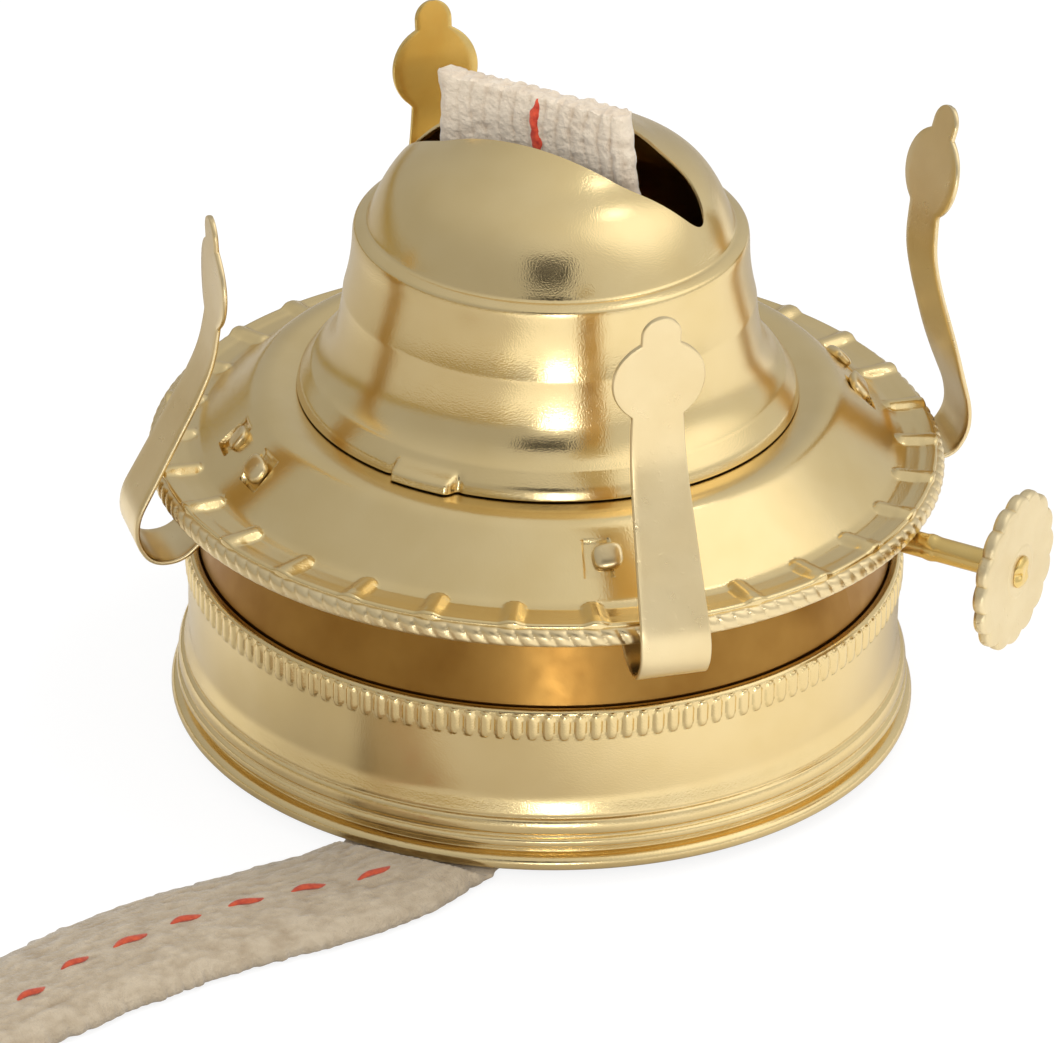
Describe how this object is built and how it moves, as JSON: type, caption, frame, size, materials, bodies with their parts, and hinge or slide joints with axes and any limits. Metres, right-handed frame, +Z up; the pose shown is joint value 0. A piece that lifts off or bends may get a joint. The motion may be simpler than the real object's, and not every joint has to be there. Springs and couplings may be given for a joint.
{
  "type": "flat-wick lamp burner",
  "caption": "Brass kerosene lamp burner: slotted dome on a chimney gallery with spring prongs, a flat wick raised by a side spindle and thumb wheel, and a milled collar for the font.",
  "frame": {"origin": "centre of the font collar's bottom rim", "axes": "+Z up the burner's axis, +X along the wick spindle towards its thumb wheel; the flat wick's width lies along X"},
  "size_m": [0.09, 0.1632, 0.0664],
  "materials": {
    "plated_brass": "bright pale brass plate with a faint satin grain",
    "plain_brass": "unpolished brass inside the burner",
    "thumb_wheel_brass": "fine matt brass face",
    "cotton_wick": "woven undyed cotton with a red tracer thread"
  },
  "bodies": {
    "base": {"font_collar": "plated_brass", "deck_plate": "plain_brass", "air_drum": "plain_brass", "air_diffuser": "plain_brass", "wick_tube": "plain_brass", "tube_ferrule": "plain_brass", "spindle_bracket": "plain_brass", "spindle_bushing": "plain_brass", "vent_tube": "plain_brass", "wick_tail": "cotton_wick"},
    "gallery": {"gallery_plate": "plated_brass", "corded_rim": "plated_brass", "gallery_seat_ring": "plain_brass", "dome": "plated_brass"},
    "prong_1": {"chimney_prong_1": "plated_brass"},
    "prong_2": {"chimney_prong_2": "plated_brass"},
    "prong_3": {"chimney_prong_3": "plated_brass"},
    "prong_4": {"chimney_prong_4": "plated_brass"},
    "spindle": {"spindle": "plated_brass", "spindle_clip": "plain_brass", "spur_wheel_1": "plain_brass", "spur_wheel_2": "plain_brass", "thumb_wheel": "thumb_wheel_brass"},
    "wick": {"wick": "cotton_wick"}
  },
  "joints": [
    {"name": "gallery_lift", "type": "slide", "parent": "base", "child": "gallery", "axis": [0, 0, 1], "range_m": [0, 0.045]},
    {"name": "prong_1_spring", "type": "hinge", "parent": "gallery", "child": "prong_1", "pos_m": [-0.02213, -0.02213, 0.031], "axis": [0.7071, -0.7071, 0], "range_deg": [0, 6], "stiffness_Nm_per_rad": 0.2},
    {"name": "prong_2_spring", "type": "hinge", "parent": "gallery", "child": "prong_2", "pos_m": [0.02229, -0.02198, 0.031], "axis": [0.7022, 0.712, 0], "range_deg": [0, 6], "stiffness_Nm_per_rad": 0.2},
    {"name": "prong_3_spring", "type": "hinge", "parent": "gallery", "child": "prong_3", "pos_m": [0.02213, 0.02213, 0.031], "axis": [-0.7071, 0.7071, 0], "range_deg": [0, 6], "stiffness_Nm_per_rad": 0.2},
    {"name": "prong_4_spring", "type": "hinge", "parent": "gallery", "child": "prong_4", "pos_m": [-0.02297, 0.02127, 0.031], "axis": [-0.6794, -0.7337, 0], "range_deg": [0, 6], "stiffness_Nm_per_rad": 0.2},
    {"name": "spindle_turn", "type": "hinge", "parent": "base", "child": "spindle", "pos_m": [0, 0.0051, 0.0246], "axis": [1, 0, 0], "range_deg": [-86, 129]},
    {"name": "wick_slide", "type": "slide", "parent": "base", "child": "wick", "axis": [0, 0, 1], "range_m": [-0.009, 0.006]}
  ],
  "couplings": [
    {"joint": "spindle_turn", "follows": "wick_slide", "rad_per_m": -250}
  ]
}
